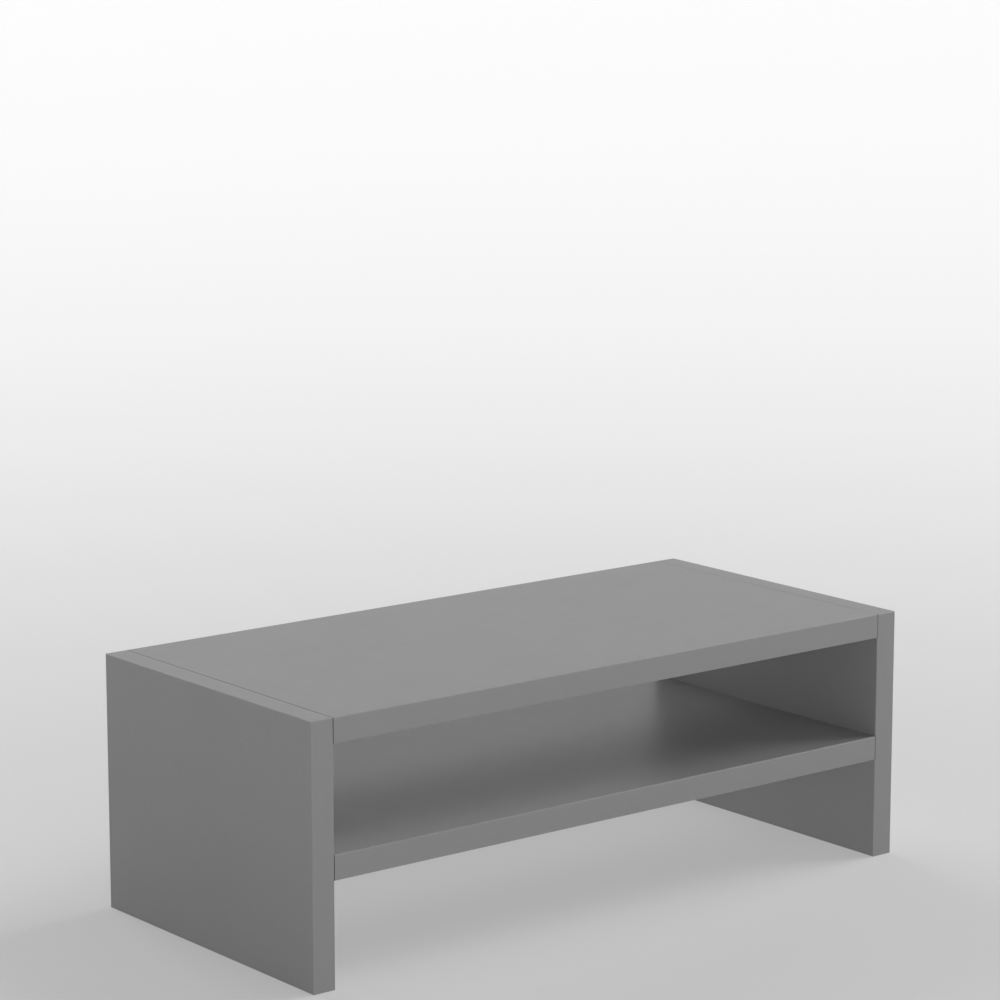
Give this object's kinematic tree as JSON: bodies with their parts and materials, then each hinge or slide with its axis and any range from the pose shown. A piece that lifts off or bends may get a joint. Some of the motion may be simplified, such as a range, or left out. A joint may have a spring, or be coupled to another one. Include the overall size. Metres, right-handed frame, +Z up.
{
  "type": "monitor riser stand",
  "caption": "Low open stand that raises a monitor: a top board and a middle shelf between two full-height side panels, open at the front and back.",
  "frame": {"origin": "middle of the footprint, on the surface that the stand rests on", "axes": "+X along the width to the right, -Y towards the user, +Z up"},
  "size_m": [0.535, 0.25, 0.187],
  "materials": {
    "faced_board": "chipboard faced with matt mid-grey melamine, raw chipboard in its bores and pockets",
    "edge_band": "matt mid-grey plastic edge band with eased corners",
    "cam_zinc": "bare die-cast zinc, satin",
    "bolt_steel": "bright zinc-plated steel",
    "dowel_beech": "plain beech with pressed ribs",
    "cap_plastic": "matt mid-grey moulded plastic"
  },
  "bodies": {
    "root": {"left_side_panel": "faced_board", "right_side_panel": "faced_board", "top_board": "faced_board", "middle_shelf": "faced_board", "left_panel_front_band": "edge_band", "left_panel_back_band": "edge_band", "left_panel_top_band": "edge_band", "left_panel_bottom_band": "edge_band", "right_panel_front_band": "edge_band", "right_panel_back_band": "edge_band", "right_panel_top_band": "edge_band", "right_panel_bottom_band": "edge_band", "top_board_front_band": "edge_band", "top_board_back_band": "edge_band", "shelf_front_band": "edge_band", "shelf_back_band": "edge_band", "top_left_cam_locks": "cam_zinc", "top_left_cam_bolts": "bolt_steel", "top_left_dowels": "dowel_beech", "top_left_cover_caps": "cap_plastic", "top_right_cam_locks": "cam_zinc", "top_right_cam_bolts": "bolt_steel", "top_right_dowels": "dowel_beech", "top_right_cover_caps": "cap_plastic", "shelf_left_cam_locks": "cam_zinc", "shelf_left_cam_bolts": "bolt_steel", "shelf_left_dowels": "dowel_beech", "shelf_left_cover_caps": "cap_plastic", "shelf_right_cam_locks": "cam_zinc", "shelf_right_cam_bolts": "bolt_steel", "shelf_right_dowels": "dowel_beech", "shelf_right_cover_caps": "cap_plastic"}
  },
  "joints": []
}
